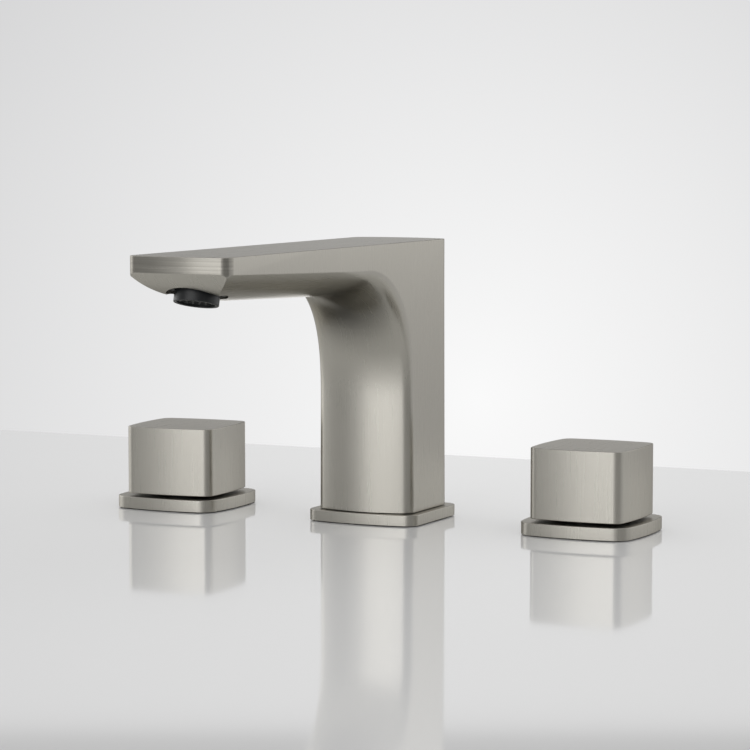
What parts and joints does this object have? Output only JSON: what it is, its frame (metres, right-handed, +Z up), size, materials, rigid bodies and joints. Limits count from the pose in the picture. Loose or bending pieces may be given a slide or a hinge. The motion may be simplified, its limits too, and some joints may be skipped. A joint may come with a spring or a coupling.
{
  "type": "widespread bathroom faucet",
  "caption": "Widespread basin faucet: flat arched spout on a square column between quarter-turn valves with square knobs, on square base plates, with deck clamps.",
  "frame": {"origin": "on top of the basin deck, under the middle of the spout's column, halfway between the handles' axes", "axes": "+X to the right towards the cold handle, +Y to the back, +Z up; the spout reaches forward along -Y"},
  "size_m": [0.2568, 0.2133, 0.214],
  "materials": {
    "brushed_nickel": "satin brushed nickel plating over brass",
    "brass": "machined, unplated",
    "steel": "plain stainless",
    "black_rubber": "matt",
    "black_plastic": "matt moulded",
    "white_plastic": "matt moulded",
    "ceramic": "lapped white alumina"
  },
  "bodies": {
    "faucet": {"spout_body": "brushed_nickel", "spout_escutcheon": "brushed_nickel", "spout_gasket": "black_rubber", "spout_shank": "brass", "spout_shank_oring": "black_rubber", "spout_rubber_washer": "black_rubber", "spout_steel_washer": "steel", "spout_mounting_nut": "brass", "spout_inlet_nipple": "brass", "spout_inlet_oring": "black_rubber", "aerator_housing": "black_plastic", "aerator_insert": "black_plastic", "aerator_honeycomb": "black_plastic", "aerator_regulator": "white_plastic", "aerator_strainer": "steel", "aerator_seal": "black_rubber", "hot_fixed_disc": "ceramic", "hot_cartridge_seal": "black_rubber", "hot_cartridge_body": "brass", "hot_cartridge_oring": "black_rubber", "hot_valve_body": "brass", "hot_escutcheon": "brushed_nickel", "hot_gasket": "black_rubber", "hot_lock_ring": "black_plastic", "hot_rubber_washer": "black_rubber", "hot_steel_washer": "steel", "hot_mounting_nut": "brass", "cold_fixed_disc": "ceramic", "cold_cartridge_seal": "black_rubber", "cold_cartridge_body": "brass", "cold_cartridge_oring": "black_rubber", "cold_valve_body": "brass", "cold_escutcheon": "brushed_nickel", "cold_gasket": "black_rubber", "cold_lock_ring": "black_plastic", "cold_rubber_washer": "black_rubber", "cold_steel_washer": "steel", "cold_mounting_nut": "brass"},
    "hot_knob": {"hot_handle": "brushed_nickel", "hot_set_screw": "steel", "hot_stem_adapter": "white_plastic", "hot_cartridge_stem": "brass", "hot_moving_disc": "ceramic"},
    "cold_knob": {"cold_handle": "brushed_nickel", "cold_set_screw": "steel", "cold_stem_adapter": "white_plastic", "cold_cartridge_stem": "brass", "cold_moving_disc": "ceramic"}
  },
  "joints": [
    {"name": "hot_turn", "type": "hinge", "parent": "faucet", "child": "hot_knob", "pos_m": [-0.1016, 0, 0.02], "axis": [0, 0, 1], "range_deg": [-4.4, 85.6]},
    {"name": "cold_turn", "type": "hinge", "parent": "faucet", "child": "cold_knob", "pos_m": [0.1016, 0, 0.02], "axis": [0, 0, 1], "range_deg": [-90, 0]}
  ]
}
